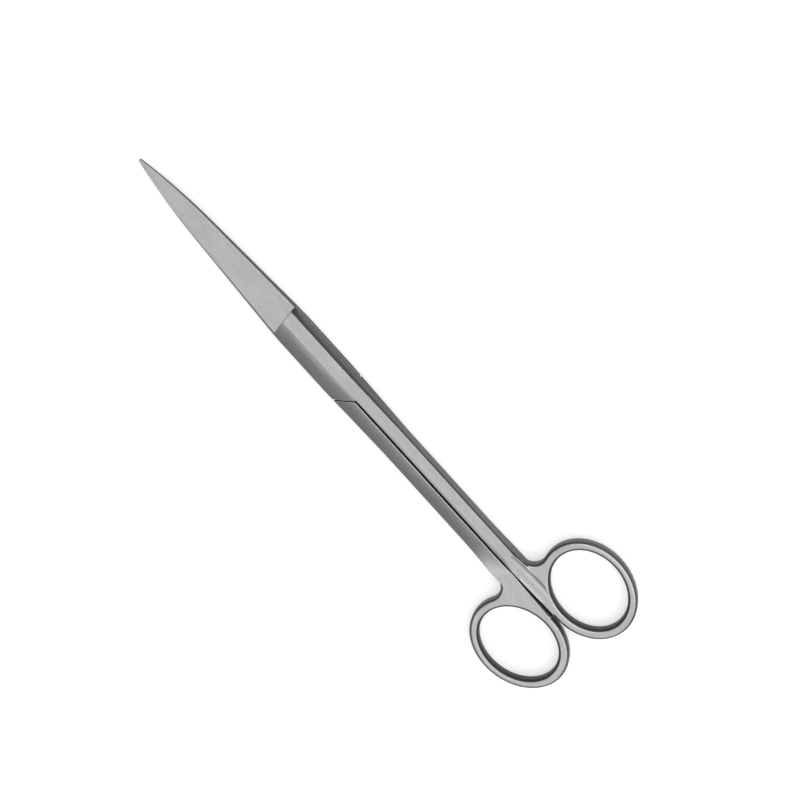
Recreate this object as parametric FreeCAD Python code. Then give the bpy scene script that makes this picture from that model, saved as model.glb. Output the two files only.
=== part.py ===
import FreeCAD, Part
import math
import os

# Straight surgical scissors with two sharp points and a screwed lap joint, shut, lying on their far side.
# Each half is one forging: blade, half-thickness joint plate, full-thickness shank and finger ring.
# The pair is the same from both sides: half a turn about the long axis puts each half on the other.
# X points to the ring of the front half, Y to the blade tips, Z up.
# The origin lies on the resting plane, halfway along the length, under the parting line of the halves.

# Lengths along the scissors, from the pivot unless the name says otherwise
overall_length = 180.0
pivot_to_tip = 70.3
pivot_to_heel = 13.2
pivot_to_kink = 9.5
pivot_to_joint_end = 7.7
pivot_to_shoulder = 15.4
pivot_to_waist = 31.0
blade_bend_to_tip = 25.3

# Lengths back from the near end of the rings, where the shank turns into the web, and past it
facet_end_before_ring = 17.0
web_start_before_ring = 14.0
crest_end_before_ring = 7.0
notch_before_ring = 3.2
crest_sunk_past_ring = 4.0
shank_end_past_ring = 8.0

# Thickness
joint_thickness = 5.6
blade_heel_thickness = 2.9
blade_tip_thickness = 1.0

# Widths of the shut pair, measured at its widest edges
joint_width = 10.3
blade_heel_width = 9.9
blade_bend_width = 6.6
blade_tip_width = 0.6
shank_width = 9.1

# Facets of the forging: the crest is the narrow flat on top, a long curved facet falls from it to one
# side, and a short steep chamfer to the other
edge_height = 1.0
blade_edge_height = 1.15
tip_edge_height = 0.46
web_edge_height = 1.7
joint_chamfer_foot_height = 1.9
shank_chamfer_foot_height = 2.25
joint_crest_left = 0.4
joint_crest_right = 3.6
shank_crest_left = 1.6
shank_crest_right = 4.0
joint_wall_lean = 0.8
blade_wall_lean = 0.05
shank_wall_lean = 0.08
facet_bulge = 0.25
facet_round_reach = 1.9
crest_round_reach = 0.4
edge_round_reach = 0.15
crest_stock = 0.05

# Ground flat on the outside of each blade
heel_slant_deg = 8.0
heel_riser_lean = 0.3
flat_cross_tilt_deg = 0.3
blade_crest_stock_heel = 1.4
blade_crest_stock_tip = 0.25

# Hollow ground into the inner face of each blade
hollow_depth = 0.12
hollow_radius = 50.0
hollow_start_from_pivot = 16.0
hollow_end_from_tip = 5.0

# Lap joint
parting_gap = 0.06
split_gap = 0.35
split_edge_chamfer = 0.3
shoulder_gap = 0.15
shoulder_angle_deg = 40.4
shoulder_corner_radius = 1.3
shoulder_recess_radius = 0.5

# Finger rings: an oval hole in a rounded bar, which stands back a little from the parting line
ring_hole_length = 23.9
ring_hole_width = 19.2
ring_side_width = 2.66
ring_end_width = 2.95
ring_bar_thickness = 3.65
ring_edge_radius = 1.15
ring_toe_in_deg = 7.25
ring_set_back = 0.1
ring_hole_offset = 0.2

# Web between the shank and the ring
web_start_half_width = 3.2
web_start_thickness = 1.2
notch_half_width = 4.65
notch_radius = 3.8

# The shank on its way into the web: its crest veers to the outer side and sinks
ring_crest_left = 3.2
ring_crest_right = 4.1
ring_foot_height = 1.55
ring_flank_half_width = 5.2
web_hollow = 0.25

# Dish in the outside of each web, beside the crest: its deepest place, its depth and how round it is
dish_from_parting = 2.3
dish_past_ring = 4.8
dish_depth = 0.45
dish_cross_radius = 6.0
dish_length_radius = 45.0

# Pivot screw
screw_radius = 1.5
screw_head_radius = 2.3
screw_head_rim = 0.25
screw_head_sink = 0.05
screw_clearance = 0.05
slot_width = 0.7
slot_depth = 0.6

# Worked out from the sizes above
half_thickness = joint_thickness / 2
flat_heel_height = blade_heel_thickness / 2
flat_tip_height = blade_tip_thickness / 2
pivot_to_ring_end = overall_length - pivot_to_tip
blade_bend_from_pivot = pivot_to_tip - blade_bend_to_tip
ring_outer_length = ring_hole_length + 2 * ring_end_width
ring_outer_width = ring_hole_width + 2 * ring_side_width
ring_half_thickness = ring_bar_thickness / 2
sunk_crest_height = ring_half_thickness - 3 * crest_stock
shank_crest_height = half_thickness + crest_stock

# Half the space that the toed-in oval of a ring takes along each axis
toe_in = math.radians(ring_toe_in_deg)
ring_reach_x = math.hypot(ring_outer_length * math.sin(toe_in), ring_outer_width * math.cos(toe_in)) / 2
ring_reach_y = math.hypot(ring_outer_length * math.cos(toe_in), ring_outer_width * math.sin(toe_in)) / 2

# The same places along the shank, measured from the pivot
pivot_to_ring = pivot_to_ring_end - 2 * ring_reach_y
pivot_to_facet_end = pivot_to_ring - facet_end_before_ring
pivot_to_web_start = pivot_to_ring - web_start_before_ring
pivot_to_crest_end = pivot_to_ring - crest_end_before_ring
pivot_to_notch = pivot_to_ring - notch_before_ring
pivot_to_sunk_crest = pivot_to_ring + crest_sunk_past_ring
pivot_to_shank_end = pivot_to_ring + shank_end_past_ring

# How the model is made: a reach past every face, how many stretches shape the points and the webs, and how
# closely an edge is looked up
far = overall_length
tip_stretches = 5
web_stretches = 11
tolerance = 0.01


def point(x, y, z=0.0):
    return FreeCAD.Vector(x, y, z)


def between(start, end, share):
    return start + (end - start) * share


def line(a, b):
    return Part.LineSegment(a, b).toShape()


def rounded_wire(corners, reaches):
    """A closed wire through the corners, each rounded by an arc that starts its reach away from it."""
    arcs = []
    for index, (corner, reach) in enumerate(zip(corners, reaches)):
        if reach == 0:
            arcs.append((corner, None, corner))
            continue
        way_in = (corners[index - 1] - corner).normalize()
        way_out = (corners[(index + 1) % len(corners)] - corner).normalize()
        half_angle = way_in.getAngle(way_out) / 2
        bisector = (way_in + way_out).normalize()
        depth = reach * (1 - math.sin(half_angle)) / math.cos(half_angle)
        arcs.append((corner + way_in * reach, corner + bisector * depth, corner + way_out * reach))
    edges = []
    for index, (start, middle, end) in enumerate(arcs):
        edges.append(line(arcs[index - 1][2], start))
        if middle:
            edges.append(Part.Arc(start, middle, end).toShape())
    return Part.Wire(edges)


def polygon_prism(corners, low, high, first_reach=0):
    """An upright prism over a polygon given by its X and Y corners. The first corner may be rounded."""
    points = [point(x, y, low) for x, y in corners]
    outline = rounded_wire(points, [first_reach] + [0] * (len(points) - 1))
    return Part.Face(outline).extrude(point(0, 0, high - low))


def side_prism(corners, low, high):
    """A prism along X over a polygon given by its Y and Z corners."""
    points = [point(low, y, z) for y, z in corners]
    return Part.Face(Part.makePolygon(points + points[:1])).extrude(point(high - low, 0, 0))


def turned_over(shape):
    """The shape after half a turn about the long axis, through the pivot."""
    copy = shape.copy()
    copy.rotate(point(0, 0), point(0, 1), 180)
    return copy


def blade_half_width(y):
    """Half width of the shut blades: straight sides from the heel, then an arc to the point."""
    heel = blade_heel_width / 2
    bend = blade_bend_width / 2
    tip = blade_tip_width / 2
    straight = blade_bend_from_pivot - pivot_to_heel
    if y <= blade_bend_from_pivot:
        return between(heel, bend, (y - pivot_to_heel) / straight)
    turn = math.atan((bend - tip) / blade_bend_to_tip) - math.atan((heel - bend) / straight)
    bulge = blade_bend_to_tip / 2 * math.tan(turn / 2)
    share = (y - blade_bend_from_pivot) / blade_bend_to_tip
    return between(bend, tip, share) + 4 * bulge * share * (1 - share)


def section(
    y, half_width, edge_z, crest_left, crest_right, crest_z, wall_lean, wall_z, softness=1.0,
    bulge=facet_bulge,
):
    """Closed outline of the shut pair across its length, the same after half a turn."""
    edge = point(-half_width, y, edge_z)
    crest_start = point(crest_left, y, crest_z)
    crest_end = point(crest_right, y, crest_z)
    wall_top = point(half_width - wall_lean, y, wall_z)
    chord = crest_start - edge
    outward = point(-chord.z, 0, chord.x).normalize()
    facet_middle = (edge + crest_start) * 0.5 + outward * bulge * softness
    upper = [edge, facet_middle, crest_start, crest_end, wall_top]
    lower = [point(-p.x, p.y, -p.z) for p in upper]
    reaches = [edge_round_reach, facet_round_reach, crest_round_reach, edge_round_reach, edge_round_reach]
    return rounded_wire(upper + lower, [reach * softness for reach in reaches * 2])


def blade_section(y):
    share = (y - pivot_to_heel) / (pivot_to_tip - pivot_to_heel)
    half_width = blade_half_width(y)
    flat_z = between(flat_heel_height, flat_tip_height, share)
    relative_width = half_width / (blade_heel_width / 2)
    return section(
        y,
        half_width,
        between(blade_edge_height, tip_edge_height, share),
        joint_crest_left * relative_width,
        joint_crest_right * relative_width,
        flat_z + between(blade_crest_stock_heel, blade_crest_stock_tip, share),
        blade_wall_lean * relative_width,
        flat_z,
        relative_width,
    )


def joint_section(y):
    return section(
        y, joint_width / 2, edge_height, joint_crest_left, joint_crest_right,
        shank_crest_height, joint_wall_lean, joint_chamfer_foot_height,
    )


def shank_section(y):
    return section(
        y, shank_width / 2, edge_height, shank_crest_left, shank_crest_right,
        shank_crest_height, shank_wall_lean, shank_chamfer_foot_height,
    )


def eased(station, start, end):
    """The share of the way from start to end that is done at the station, with a soft start and end."""
    share = min(max((station - start) / (end - start), 0.0), 1.0)
    return share * share * (3 - 2 * share)


def shank_end_section(station):
    """The shank where it flattens out into the web: the long facet turns level and hollow as it nears the
    notch, the crest veers to the outer side, and both sink into the ring."""
    faded = eased(station, pivot_to_facet_end, pivot_to_notch)
    veered = eased(station, pivot_to_crest_end, pivot_to_ring)
    sunk = eased(station, pivot_to_crest_end, pivot_to_sunk_crest)
    widened = eased(station, pivot_to_notch, pivot_to_sunk_crest)
    crest_z = between(shank_crest_height, sunk_crest_height, sunk)
    half_width = between(shank_width / 2, notch_half_width - crest_stock, faded)
    return section(
        -station,
        between(half_width, ring_flank_half_width, widened),
        min(between(edge_height, web_edge_height, faded), crest_z - 3 * crest_stock),
        between(shank_crest_left, ring_crest_left, veered),
        between(shank_crest_right, ring_crest_right, veered),
        crest_z,
        shank_wall_lean,
        between(shank_chamfer_foot_height, ring_foot_height, sunk),
        1.0,
        between(facet_bulge, -web_hollow, faded),
    )


def shut_pair_body():
    """Outer form of both halves without rings, as forged and ground."""
    step = blade_bend_to_tip / tip_stretches
    stations = [blade_bend_from_pivot + step * k for k in range(tip_stretches + 1)]
    body = Part.makeLoft([blade_section(y) for y in stations], True, False)
    straight_stretches = [
        [blade_section(blade_bend_from_pivot), blade_section(pivot_to_heel)],
        [blade_section(pivot_to_heel), joint_section(pivot_to_kink)],
        [joint_section(pivot_to_kink), joint_section(-pivot_to_joint_end)],
        [joint_section(-pivot_to_joint_end), shank_section(-pivot_to_waist)],
        [shank_section(-pivot_to_waist), shank_section(-pivot_to_facet_end)],
    ]
    pieces = [Part.makeLoft(wires, True, True) for wires in straight_stretches]
    step = (pivot_to_shank_end - pivot_to_facet_end) / web_stretches
    stations = [pivot_to_facet_end + step * k for k in range(web_stretches + 1)]
    pieces.append(Part.makeLoft([shank_end_section(station) for station in stations], True, False))
    body = body.fuse(pieces)
    slab_corners = [(-far, -far), (far, -far), (far, far), (-far, far)]
    return body.common(polygon_prism(slab_corners, -half_thickness, half_thickness))


def blade_flat_cutter():
    """What the grinding wheel takes off the outside of a blade, ahead of the slanted heel line."""
    length = pivot_to_tip - pivot_to_heel
    corners = [
        (0, 0),
        (2 * length, 2 * (flat_tip_height - flat_heel_height)),
        (2 * length, joint_thickness),
        (-heel_riser_lean, joint_thickness),
    ]
    cutter = side_prism(corners, -far, far)
    cutter.rotate(point(0, 0), point(0, 1), flat_cross_tilt_deg)
    cutter.rotate(point(0, 0), point(0, 0, 1), heel_slant_deg)
    cutter.translate(point(0, pivot_to_heel, flat_heel_height))
    return cutter


def hollow_cutter():
    """A long shallow hollow in the inner face, deepest near the heel and running out before the point."""
    length = pivot_to_tip - hollow_end_from_tip - hollow_start_from_pivot
    start = point(0, hollow_start_from_pivot, parting_gap / 2 + hollow_depth - hollow_radius)
    run_out = point(0, length, -hollow_depth)
    return Part.makeCylinder(hollow_radius, run_out.Length, start, run_out)


def shoulder_y(x):
    """Y of the slanted shoulder line at a distance x from the parting line."""
    return abs(x) * math.tan(math.radians(shoulder_angle_deg)) - pivot_to_shoulder


def corner_reach(radius):
    """How far from the shoulder's corner a round of this radius starts."""
    return radius * math.tan(math.radians(90 - shoulder_angle_deg) / 2)


def front_region():
    """Where the front half may be: above the parting plane up to its shoulder, and all of its own shank."""
    side = split_gap / 2
    upper_corners = [
        (side, shoulder_y(0)),
        (-far, shoulder_y(-far)),
        (-far, 2 * far),
        (far, 2 * far),
        (far, -far),
        (side, -far),
    ]
    lower_corners = [
        (side, shoulder_y(0) - shoulder_gap),
        (side, -far),
        (far, -far),
        (far, shoulder_y(far) - shoulder_gap),
    ]
    recess = corner_reach(shoulder_recess_radius)
    corner = corner_reach(shoulder_corner_radius)
    upper = polygon_prism(upper_corners, parting_gap / 2, joint_thickness, recess)
    lower = polygon_prism(lower_corners, -joint_thickness, parting_gap / 2, corner)
    return upper.fuse(lower).removeSplitter()


def height_at_split(width, crest_left):
    """Height of the long facet over the parting line, where the pair has this width."""
    share = width / (width + 2 * crest_left)
    straight = between(edge_height, shank_crest_height, share)
    return min(half_thickness, straight + 4 * facet_bulge * share * (1 - share))


def split_groove():
    """A shallow V along the split, on top: it breaks the sharp edges of the two shanks there."""
    ring_y = ring_centre().y
    shank_top = height_at_split(shank_width, shank_crest_left)
    levels = [
        (-pivot_to_shoulder, height_at_split(joint_width, joint_crest_left), split_edge_chamfer),
        (-pivot_to_waist, shank_top, split_edge_chamfer),
        (-pivot_to_crest_end, shank_top, split_edge_chamfer),
        (-pivot_to_sunk_crest, ring_half_thickness, split_edge_chamfer),
        (ring_y, ring_half_thickness, ring_edge_radius / 2),
        (-pivot_to_ring_end, ring_half_thickness, ring_edge_radius / 2),
    ]
    wires = []
    for y, z, chamfer in levels:
        depth = chamfer + split_gap / 2
        corners = [point(0, y, z - depth), point(2 * depth, y, z + depth), point(-2 * depth, y, z + depth)]
        wires.append(Part.makePolygon(corners + corners[:1]))
    return Part.makeLoft(wires, True, True)


def ring_centre():
    """Centre of the ring's oval, which is toed in towards the far end."""
    return point(split_gap / 2 + ring_set_back + ring_reach_x, ring_reach_y - pivot_to_ring_end)


def oval_prism(length, width, half_height):
    """A prism over an oval that has the ring's centre and toe-in."""
    major = point(-math.sin(toe_in), -math.cos(toe_in))
    minor = point(math.cos(toe_in), -math.sin(toe_in))
    centre = ring_centre()
    oval = Part.Ellipse(centre + major * (length / 2), centre + minor * (width / 2), centre)
    face = Part.Face(Part.Wire(oval.toShape()))
    face.translate(point(0, 0, -half_height))
    return face.extrude(point(0, 0, 2 * half_height))


def notch_edges(plate):
    """The upright edge where the web meets the outside of the ring, on the outer side of the shank."""
    found = []
    for edge in plate.Edges:
        box = edge.BoundBox
        upright = box.XLength < tolerance and box.YLength < tolerance
        past_notch = box.YMin < -pivot_to_notch - tolerance
        if upright and past_notch and abs(box.XMin - notch_half_width) < tolerance:
            found.append(edge)
    return found


def outer_rims(plate):
    """The level edges round the outside of the plate, but not along the parting line or its start."""
    rims = []
    for edge in plate.Edges:
        box = edge.BoundBox
        level = box.ZLength < tolerance
        along_parting = box.XMax < tolerance
        at_start = box.YMin > -pivot_to_web_start - tolerance
        if level and not along_parting and not at_start:
            rims.append(edge)
    return rims


def web_taper():
    """The web thickens from where it leaves the shank to the notch."""
    upper = [
        (-pivot_to_web_start, web_start_thickness / 2),
        (-pivot_to_notch, ring_half_thickness),
        (-far, ring_half_thickness),
    ]
    lower = [(y, -z) for y, z in reversed(upper)]
    return side_prism(upper + lower, -far, far)


def ring_and_web():
    """The finger ring with the web that carries it, before its parting side is ground flat."""
    ring_y = ring_centre().y
    web_corners = [
        (0, -pivot_to_web_start),
        (web_start_half_width, -pivot_to_web_start),
        (notch_half_width, -pivot_to_notch),
        (notch_half_width, ring_y),
        (0, ring_y),
    ]
    web = polygon_prism(web_corners, -ring_half_thickness, ring_half_thickness)
    oval = oval_prism(ring_outer_length, ring_outer_width, ring_half_thickness)
    plate = oval.fuse(web).removeSplitter()
    plate = plate.makeFillet(notch_radius, notch_edges(plate))
    plate = plate.makeFillet(ring_edge_radius, outer_rims(plate))
    return plate.common(web_taper())


def web_dish_cutter():
    """A ring standing on edge, whose lowest stretch leaves a long shallow dish in the web."""
    lowest_z = ring_half_thickness - dish_depth
    centre = point(dish_from_parting, -pivot_to_ring - dish_past_ring, lowest_z + dish_length_radius)
    return Part.makeTorus(dish_length_radius - dish_cross_radius, dish_cross_radius, centre, point(1, 0))


def finger_hole_cutter():
    """The finger hole with rounded rims: the hole itself, and what a rounded collar leaves free at them."""
    hole = oval_prism(ring_hole_length, ring_hole_width, joint_thickness)
    hole.translate(point(ring_hole_offset, 0))
    collar = oval_prism(ring_outer_length, ring_outer_width, ring_half_thickness)
    ring = collar.cut(hole)
    rims = []
    for edge in ring.Edges:
        box = edge.BoundBox
        if box.ZLength < tolerance and box.YLength < ring_hole_length + tolerance:
            rims.append(edge)
    return hole.fuse(collar.cut(ring.makeFillet(ring_edge_radius, rims)))


def forged_half(pair_body):
    """One half without its pivot hole: the front one."""
    stock = pair_body.fuse(ring_and_web())
    stock = stock.cut(finger_hole_cutter()).cut(web_dish_cutter())
    groove = split_groove()
    stock = stock.cut(groove).cut(turned_over(groove))
    half = stock.common(front_region())
    half = half.cut(blade_flat_cutter())
    return half.cut(hollow_cutter())


def front_half(forging):
    """The half with the threaded hole for the pivot screw."""
    hole = Part.makeCylinder(screw_radius, 2 * joint_thickness, point(0, 0, -joint_thickness))
    return forging.cut(hole)


def screw_head(clearance):
    """The countersunk head: a short rim at the open side, then a cone down to the body of the screw."""
    radius = screw_head_radius + clearance
    face_z = -half_thickness + screw_head_sink
    rim_height = screw_head_rim + clearance
    cone_height = screw_head_radius - screw_radius
    rim = Part.makeCylinder(radius, rim_height, point(0, 0, face_z))
    cone = Part.makeCone(radius, screw_radius + clearance, cone_height, point(0, 0, face_z + rim_height))
    return rim.fuse(cone)


def rear_half(forging):
    """The half with the clearance hole and the countersink for the head of the screw."""
    bore_radius = screw_radius + screw_clearance
    mouth_radius = screw_head_radius + screw_clearance
    mouth_z = -half_thickness + screw_head_sink - joint_thickness
    bore = Part.makeCylinder(bore_radius, 2 * joint_thickness, point(0, 0, -joint_thickness))
    mouth = Part.makeCylinder(mouth_radius, joint_thickness, point(0, 0, mouth_z))
    return turned_over(forging).cut(bore).cut(mouth.fuse(screw_head(screw_clearance)))


def pivot_screw(pair_body):
    """The screw: its tail is ground flush with the front half, its head lies in the countersink."""
    face_z = -half_thickness + screw_head_sink
    tail = Part.makeCylinder(screw_radius, 2 * joint_thickness, point(0, 0, face_z + screw_head_rim))
    screw = tail.common(pair_body).fuse(screw_head(0)).removeSplitter()
    reach = screw_head_radius + screw_clearance
    slot_side = slot_width / 2
    slot_corners = [(-reach, -slot_side), (reach, -slot_side), (reach, slot_side), (-reach, slot_side)]
    return screw.cut(polygon_prism(slot_corners, -joint_thickness, face_z + slot_depth))


def place_and_save(name, shape):
    """Moves a piece from the pivot's frame to the part's own, and writes it."""
    solids = shape.Solids
    placed = solids[0].copy() if len(solids) == 1 else shape.copy()
    placed.translate(point(0, overall_length / 2 - pivot_to_tip, half_thickness))
    placed.exportStep("parts/" + name + ".step")
    print(name, "solids", len(solids), "valid", placed.isValid(), "volume", round(placed.Volume, 2))


os.makedirs("parts", exist_ok=True)
pair = shut_pair_body()
forging = forged_half(pair)
place_and_save("front_half", front_half(forging))
place_and_save("rear_half", rear_half(forging))
place_and_save("pivot_screw", pivot_screw(pair))
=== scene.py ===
import math

import bmesh
import bpy
from mathutils import Matrix, Vector

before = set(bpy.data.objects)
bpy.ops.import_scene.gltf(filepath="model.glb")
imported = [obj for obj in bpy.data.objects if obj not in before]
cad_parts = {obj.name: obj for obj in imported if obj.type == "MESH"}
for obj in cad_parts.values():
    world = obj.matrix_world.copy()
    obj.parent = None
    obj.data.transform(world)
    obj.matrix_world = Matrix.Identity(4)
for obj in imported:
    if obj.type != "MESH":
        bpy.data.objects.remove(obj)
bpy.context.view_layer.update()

# Camera. It looks down on the shut scissors from the right, a little past their joint, with the points to
# the upper left of the picture and the rings to the lower right.
camera_place = Vector((0.13974, 0.02019, 0.36268))
camera_aim = Vector((0.00782, -0.00358, 0.0))
picture_up = Vector((0.7141, 0.7578, 0.0))
camera_lens_mm = 64.77
camera_sensor_mm = 36.0
nearest_seen = 0.01
farthest_seen = 50.0

looking = (camera_aim - camera_place).normalized()
camera_right = looking.cross(picture_up).normalized()
camera_up = camera_right.cross(looking)
turn = Matrix((camera_right, camera_up, -looking)).transposed()
camera_data = bpy.data.cameras.new("camera")
camera_data.lens = camera_lens_mm
camera_data.sensor_width = camera_sensor_mm
camera_data.clip_start = nearest_seen
camera_data.clip_end = farthest_seen
camera = bpy.data.objects.new("camera", camera_data)
camera.matrix_world = Matrix.Translation(camera_place) @ turn.to_4x4()
bpy.context.scene.collection.objects.link(camera)
bpy.context.scene.camera = camera
bpy.context.scene.view_settings.view_transform = "Standard"

# Light. One very wide soft light overhead makes the upward faces pale, and an even grey room around it
# leaves the slanted faces and the side walls darker. Two lights just under it, on both sides of the part
# of it that the flat faces mirror, give the rounded edges their brighter lines.
room_grey = 0.28
overhead_height = 0.75
edge_light_height = 0.74
light_near_end = -1.4
light_far_end = 0.45

world = bpy.data.worlds.new("room")
bpy.context.scene.world = world
world.use_nodes = True
world.node_tree.nodes["Background"].inputs["Color"].default_value = (room_grey, room_grey, room_grey, 1)


def soft_light(name, low_x, high_x, brightness, height):
    """A level light that faces down and looks this bright from below."""
    data = bpy.data.lights.new(name, "AREA")
    data.shape = "RECTANGLE"
    data.size = high_x - low_x
    data.size_y = light_far_end - light_near_end
    data.energy = math.pi * data.size * data.size_y * brightness
    light = bpy.data.objects.new(name, data)
    light.location = ((low_x + high_x) / 2, (light_near_end + light_far_end) / 2, height)
    bpy.context.scene.collection.objects.link(light)


soft_light("overhead_light", -0.83, 1.3, 0.72, overhead_height)
soft_light("left_light", -0.62, -0.42, 0.7, edge_light_height)
soft_light("right_light", 0.05, 1.3, 0.7, edge_light_height)

# Table. A plain white surface under the scissors. It adds some white of its own where it is seen or
# mirrored, and more of it further out, where less light reaches the table. It keeps the shadow.
table_half = 15.0
table_colour = (0.8, 0.8, 0.8, 1)
table_roughness = 0.9
table_added_white = 0.42
far_added_white = 0.45
far_white_starts = 0.4
far_white_full = 1.5

table_mesh = bpy.data.meshes.new("table")
shape = bmesh.new()
bmesh.ops.create_grid(shape, x_segments=1, y_segments=1, size=table_half)
shape.to_mesh(table_mesh)
shape.free()
table = bpy.data.objects.new("table", table_mesh)
bpy.context.scene.collection.objects.link(table)


def new_material(name):
    """An empty material, its node tree and its surface shader."""
    material = bpy.data.materials.new(name)
    material.use_nodes = True
    return material, material.node_tree, material.node_tree.nodes["Principled BSDF"]


def add(tree, kind, values=None, **settings):
    """A node of this kind in the tree. A value is a plain number or colour, or a socket to read."""
    node = tree.nodes.new("ShaderNode" + kind)
    for key, setting in settings.items():
        setattr(node, key, setting)
    for key, value in (values or {}).items():
        if isinstance(value, bpy.types.NodeSocket):
            tree.links.new(value, node.inputs[key])
        else:
            node.inputs[key].default_value = value
    return node


def maths(tree, operation, a, b=0.0):
    return add(tree, "Math", {0: a, 1: b}, operation=operation).outputs[0]


table_paint, tree, surface = new_material("white_table")
surface.inputs["Base Color"].default_value = table_colour
surface.inputs["Roughness"].default_value = table_roughness
surface.inputs["Specular IOR Level"].default_value = 0.0
surface.inputs["Emission Color"].default_value = (1, 1, 1, 1)
ray = add(tree, "LightPath")
seen = maths(tree, "MAXIMUM", ray.outputs["Is Camera Ray"], ray.outputs["Is Glossy Ray"])
seen = maths(tree, "MAXIMUM", seen, ray.outputs["Is Transmission Ray"])
away = add(tree, "VectorMath", {0: add(tree, "TexCoord").outputs["Object"]}, operation="LENGTH")
reach = {"Value": away.outputs["Value"], "From Min": far_white_starts, "From Max": far_white_full}
far_white = maths(tree, "MULTIPLY", add(tree, "MapRange", reach).outputs["Result"], far_added_white)
added_white = maths(tree, "ADD", far_white, table_added_white)
tree.links.new(maths(tree, "MULTIPLY", seen, added_white), surface.inputs["Emission Strength"])
table_mesh.materials.append(table_paint)

# Front half. A stainless steel forging: blade, joint plate, shank and right finger ring in one piece. Its
# upward faces are ground and satin finished, with painted highlights on their edges. Its rougher sides are
# painted darker as shade, most of all on the blade and inside the finger hole, and so are its crevices.
ground_colour = (0.45, 0.445, 0.434, 1)
# Painted shade: steep sides are darkened to this colour.
steep_side_shade_colour = (0.12, 0.12, 0.116, 1)
# Painted highlight: rounded edges that point up or down are lightened to this colour.
edge_highlight_colour = (0.6, 0.595, 0.58, 1)
# Painted shade: crevices, and the steep sides of the blade and finger hole, darken towards this colour.
painted_shade_colour = (0.03, 0.03, 0.028, 1)
ground_roughness = 0.3
forged_roughness = 0.42

# Grain. The sizes are in metres, and the stretches draw a pattern out along the scissors.
cloud_size = 0.004
cloud_stretch = 3.0
brush_size = 0.00035
brush_stretch = 25.0
speck_size = 0.0005
speck_stretch = 1.3
noise_middle = 0.5
noise_spread = 4.0
brush_height_share = 0.5
texture_strength = 0.5
texture_depth = 2e-6

# Edges and crevices. An edge gets its painted highlight where its rounded face points up or down at least
# this much, and crevices get painted shade.
edge_samples = 8
edge_round = 0.0003
highlight_reach = 0.0003
highlight_starts_at = 0.72
highlight_full_at = 0.86
crevice_depth = 0.0005
crevice_closed = 0.2
crevice_open = 0.7
crevice_shade_share = 0.85

# Places on the scissors. The screw's tail is ground flush with the top of the front half, so no painted
# edge highlight or painted crevice shade is drawn around it there.
pivot_y = 0.0197
flush_radius = 0.0019
flush_fade_radius = 0.0025
parting_height = 0.0028
above_parting = 0.0029
finger_hole_half_length = 0.0122
finger_hole_half_width = 0.0099
finger_hole_x = 0.0128
finger_hole_y = -0.0751
finger_hole_turn = math.radians(7.25)
finger_hole_inside = 0.97
finger_hole_outside = 1.05
blade_start = 0.031
blade_full = 0.035
# Painted shade: how far the steep sides of the blade and finger hole darken.
deep_side_shade_share = 0.7


def new_group(name, inputs, outputs):
    """A shared shader node group. An input's value of None makes it a vector."""
    group = bpy.data.node_groups.new(name, "ShaderNodeTree")
    for label, value in inputs.items():
        kind = "NodeSocketVector" if value is None else "NodeSocketFloat"
        socket = group.interface.new_socket(label, in_out="INPUT", socket_type=kind)
        if value is not None:
            socket.default_value = value
    for label in outputs:
        group.interface.new_socket(label, in_out="OUTPUT", socket_type="NodeSocketFloat")
    way_in = group.nodes.new("NodeGroupInput")
    way_out = group.nodes.new("NodeGroupOutput")
    return group, way_in.outputs, way_out.inputs


def smooth_step(tree, value, low, high):
    """0 below low, 1 above high, and a soft slope between them."""
    values = {"Value": value, "From Min": low, "From Max": high}
    return add(tree, "MapRange", values, interpolation_type="SMOOTHSTEP").outputs["Result"]


def parts_of(tree, vector):
    """The X, Y and Z of a vector, by those names."""
    return add(tree, "SeparateXYZ", {0: vector}).outputs


def grains(tree, place, size, stretch, detail, roughness):
    """Noise around 0 whose grains have this size in metres, drawn out by the stretch along Y."""
    scale = (1 / size, 1 / (size * stretch), 1 / size)
    mapped = add(tree, "Mapping", {"Vector": place, "Scale": scale}).outputs[0]
    values = {"Vector": mapped, "Scale": 1.0, "Detail": detail, "Roughness": roughness}
    noise = add(tree, "TexNoise", values).outputs[0]
    return maths(tree, "MULTIPLY", maths(tree, "SUBTRACT", noise, noise_middle), noise_spread)


# Satin grain. Soft clouds, lengthwise brush lines and specks, as a tone around 1 and a height.
satin, given, result = new_group(
    "satin_grain", {"Place": None, "Clouds": 0.07, "Lines": 0.06, "Specks": 0.09}, ["Tone", "Height"]
)
clouds = grains(satin, given["Place"], cloud_size, cloud_stretch, 3.0, 0.5)
brushed = grains(satin, given["Place"], brush_size, brush_stretch, 2.0, 0.6)
specks = grains(satin, given["Place"], speck_size, speck_stretch, 2.0, 0.7)
tone = 1.0
for pattern, label in ((clouds, "Clouds"), (brushed, "Lines"), (specks, "Specks")):
    tone = maths(satin, "ADD", tone, maths(satin, "MULTIPLY", pattern, given[label]))
satin.links.new(tone, result["Tone"])
brush_height = maths(satin, "MULTIPLY", brushed, brush_height_share)
satin.links.new(maths(satin, "ADD", brush_height, specks), result["Height"])

# Steep sides, rougher and painted darker as shade. The mask is 1 on steep faces and 0 on faces near level.
sides, given, result = new_group("rough_shaded_sides", {"Facing": None, "Steep": 0.82, "Flat": 0.93}, ["Mask"])
facing_up = maths(sides, "ABSOLUTE", parts_of(sides, given["Facing"])["Z"])
flatness = smooth_step(sides, facing_up, given["Steep"], given["Flat"])
sides.links.new(maths(sides, "SUBTRACT", 1.0, flatness), result["Mask"])
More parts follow.
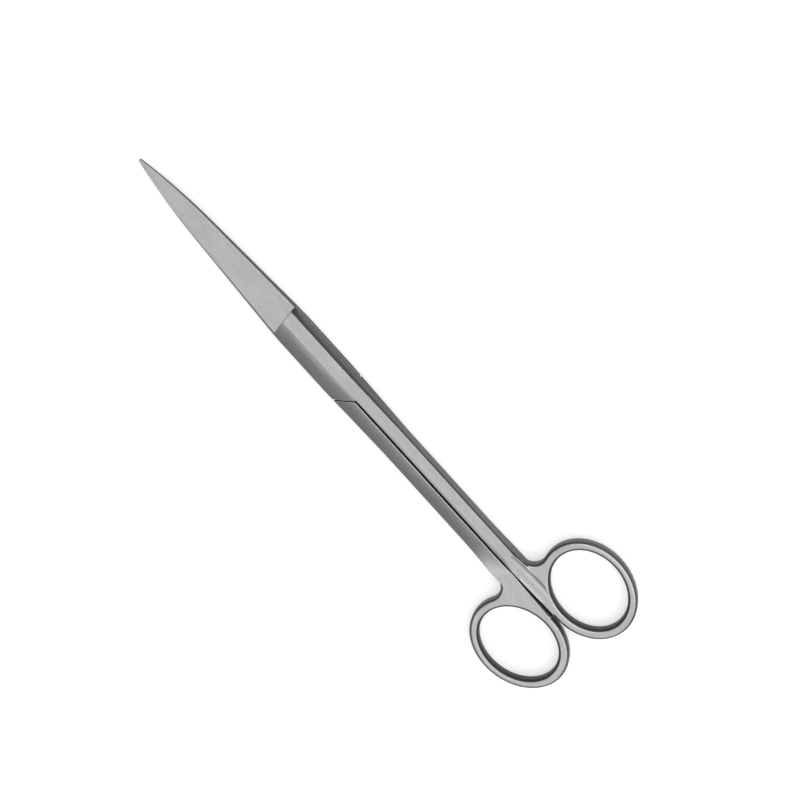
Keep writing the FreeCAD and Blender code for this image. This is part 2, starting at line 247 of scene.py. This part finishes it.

# Painted edge highlights. The mask is 1 where the rounded face turns away from the flat one, and 0 on
# lower edges.
# Open is 0 only over the flush end of the screw.
edge_glint, given, result = new_group(
    "painted_edge_highlights", {"Facing": None, "Rounded": None, "Place": None, "Reach": 0.06}, ["Mask", "Open"]
)
cosine = add(edge_glint, "VectorMath", {0: given["Facing"], 1: given["Rounded"]}, operation="DOT_PRODUCT")
bent = smooth_step(edge_glint, maths(edge_glint, "SUBTRACT", 1.0, cosine.outputs["Value"]), 0.0, given["Reach"])
raised = maths(edge_glint, "ABSOLUTE", parts_of(edge_glint, given["Rounded"])["Z"])
glinting = maths(edge_glint, "MULTIPLY", bent, smooth_step(edge_glint, raised, highlight_starts_at, highlight_full_at))
level_place = add(edge_glint, "VectorMath", {0: given["Place"], 1: (1, 1, 0)}, operation="MULTIPLY").outputs[0]
from_pivot = add(edge_glint, "VectorMath", {0: level_place, 1: (0, pivot_y, 0)}, operation="DISTANCE")
clear = smooth_step(edge_glint, from_pivot.outputs["Value"], flush_radius, flush_fade_radius)
top = smooth_step(edge_glint, parts_of(edge_glint, given["Place"])["Z"], parting_height, above_parting)
flush = maths(edge_glint, "MULTIPLY", top, maths(edge_glint, "SUBTRACT", 1.0, clear))
kept = maths(edge_glint, "SUBTRACT", 1.0, flush)
edge_glint.links.new(maths(edge_glint, "MULTIPLY", glinting, kept), result["Mask"])
edge_glint.links.new(kept, result["Open"])

# Finger holes. The mask is 1 inside the two toed-in ovals of the holes and 0 outside them.
holes, given, result = new_group("finger_holes", {"Place": None}, ["Mask"])
hole_place = parts_of(holes, given["Place"])
sideways = maths(holes, "SUBTRACT", maths(holes, "ABSOLUTE", hole_place["X"]), finger_hole_x)
lengthways = maths(holes, "SUBTRACT", hole_place["Y"], finger_hole_y)
from_centre = add(holes, "CombineXYZ", {"X": sideways, "Y": lengthways}).outputs[0]
toed_in = {"Vector": from_centre, "Angle": finger_hole_turn}
turned = add(holes, "VectorRotate", toed_in, rotation_type="Z_AXIS").outputs[0]
oval = {0: turned, 1: (1 / finger_hole_half_width, 1 / finger_hole_half_length, 0)}
from_oval = add(holes, "VectorMath", oval, operation="MULTIPLY").outputs[0]
from_oval = add(holes, "VectorMath", {0: from_oval}, operation="LENGTH").outputs["Value"]
outside = smooth_step(holes, from_oval, finger_hole_inside, finger_hole_outside)
holes.links.new(maths(holes, "SUBTRACT", 1.0, outside), result["Mask"])


def mixed(tree, share, first, second):
    """A colour between two others."""
    node = add(tree, "Mix", data_type="RGBA")
    for socket, value in ((node.inputs[0], share), (node.inputs[6], first), (node.inputs[7], second)):
        if isinstance(value, bpy.types.NodeSocket):
            tree.links.new(value, socket)
        else:
            socket.default_value = value
    return node.outputs[2]


def satin_steel(name, pattern_place):
    """Satin stainless steel. A place of its own keeps a piece's grain from being like another's."""
    material, tree, surface = new_material(name)
    own = add(tree, "TexCoord").outputs["Object"]
    facing = add(tree, "NewGeometry").outputs["Normal"]
    place = add(tree, "Mapping", {"Vector": own, "Location": pattern_place}).outputs[0]
    wide_round = add(tree, "Bevel", {"Radius": highlight_reach}, samples=edge_samples).outputs[0]
    grain = add(tree, "Group", node_tree=satin)
    side = add(tree, "Group", node_tree=sides)
    edge_glints = add(tree, "Group", node_tree=edge_glint)
    hole = add(tree, "Group", node_tree=holes)
    tree.links.new(place, grain.inputs["Place"])
    tree.links.new(facing, side.inputs["Facing"])
    tree.links.new(facing, edge_glints.inputs["Facing"])
    tree.links.new(wide_round, edge_glints.inputs["Rounded"])
    tree.links.new(own, edge_glints.inputs["Place"])
    tree.links.new(own, hole.inputs["Place"])

    # Painted shade on the steep sides of the blade and inside the finger hole.
    on_blade = smooth_step(tree, parts_of(tree, own)["Y"], blade_start, blade_full)
    deep_side_shade = maths(tree, "MAXIMUM", hole.outputs["Mask"], on_blade)
    deep_side_shade = maths(tree, "MULTIPLY", side.outputs["Mask"], deep_side_shade)
    # Painted shade in crevices, darker where ambient occlusion finds close walls, except over the screw's
    # flush end.
    crevice = {"Distance": crevice_depth}
    open_share = add(tree, "AmbientOcclusion", crevice, samples=edge_samples).outputs["AO"]
    crevice_shade = maths(tree, "SUBTRACT", 1.0, smooth_step(tree, open_share, crevice_closed, crevice_open))
    crevice_shade = maths(tree, "MULTIPLY", crevice_shade, edge_glints.outputs["Open"])

    # Painted shade: steep sides take the darker side colour.
    colour = mixed(tree, side.outputs["Mask"], ground_colour, steep_side_shade_colour)
    # Painted highlight along the rounded edges.
    colour = mixed(tree, edge_glints.outputs["Mask"], colour, edge_highlight_colour)
    colour = mixed(tree, maths(tree, "MULTIPLY", deep_side_shade, deep_side_shade_share), colour, painted_shade_colour)
    # Painted shade in the crevices.
    colour = mixed(tree, maths(tree, "MULTIPLY", crevice_shade, crevice_shade_share), colour, painted_shade_colour)
    toned = add(tree, "VectorMath", {0: colour, "Scale": grain.outputs["Tone"]}, operation="SCALE")
    tree.links.new(toned.outputs[0], surface.inputs["Base Color"])

    surface.inputs["Metallic"].default_value = 1.0
    rougher = maths(tree, "MULTIPLY", side.outputs["Mask"], forged_roughness - ground_roughness)
    tree.links.new(maths(tree, "ADD", rougher, ground_roughness), surface.inputs["Roughness"])

    edge_width = maths(tree, "MULTIPLY", edge_glints.outputs["Open"], edge_round)
    texture = {
        "Height": grain.outputs["Height"],
        "Normal": add(tree, "Bevel", {"Radius": edge_width}, samples=edge_samples).outputs[0],
        "Strength": texture_strength,
        "Distance": texture_depth,
    }
    tree.links.new(add(tree, "Bump", texture).outputs[0], surface.inputs["Normal"])
    return material


def finish(node_name, material):
    """Gives a piece of the frame its material."""
    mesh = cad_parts[node_name].data
    mesh.materials.clear()
    mesh.materials.append(material)


front_place = (0.0, 0.0, 0.0)
finish("front_half", satin_steel("satin_steel_front", front_place))

# Rear half. The mating forging, the same shape turned over, with the left finger ring. Its grain is taken
# from another place, so that it isn't like the front half's.
rear_place = (0.31, 0.17, 0.23)
finish("rear_half", satin_steel("satin_steel_rear", rear_place))

# Pivot screw. A slotted countersunk screw of the same steel, ground flush with the front half, whose
# grain runs on over its end.
finish("pivot_screw", satin_steel("screw_steel", front_place))
